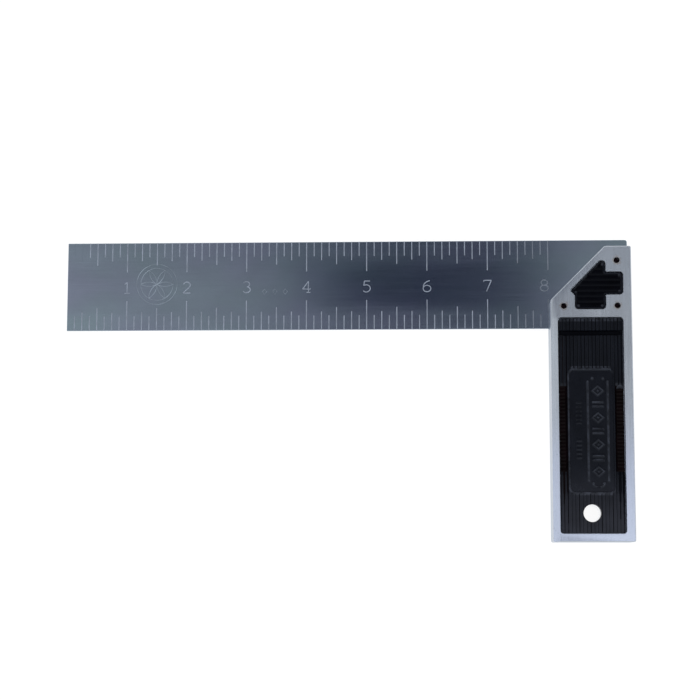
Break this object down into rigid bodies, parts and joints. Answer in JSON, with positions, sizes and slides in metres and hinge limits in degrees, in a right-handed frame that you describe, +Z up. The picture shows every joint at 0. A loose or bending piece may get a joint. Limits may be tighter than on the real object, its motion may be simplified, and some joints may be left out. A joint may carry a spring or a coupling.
{
  "type": "try and mitre square",
  "caption": "Try and mitre square: a graduated steel blade pinned at a right angle into an aluminium stock with black moulded inlays, a mitred shoulder and a hang hole.",
  "frame": {"origin": "centre of the bounding box, on the underside of the stock: the square lies flat", "axes": "+X from the blade's tip towards the stock, along the blade; +Y from the stock's free end towards the blade, along the stock; +Z up, through the thickness"},
  "size_m": [0.2372, 0.1264, 0.016],
  "materials": {
    "blade_steel": "ground and dulled, grey-blue",
    "cast_aluminium": "die-cast, linished along its length",
    "pin_steel": "dark, unpolished",
    "black_plastic": "moulded, satin"
  },
  "bodies": {
    "root": {"blade": "blade_steel", "stock": "cast_aluminium", "pin_top": "pin_steel", "pin_inner": "pin_steel", "pin_outer": "pin_steel", "grip_front": "black_plastic", "grip_back": "black_plastic", "head_insert_front": "black_plastic", "head_insert_back": "black_plastic"}
  },
  "joints": []
}
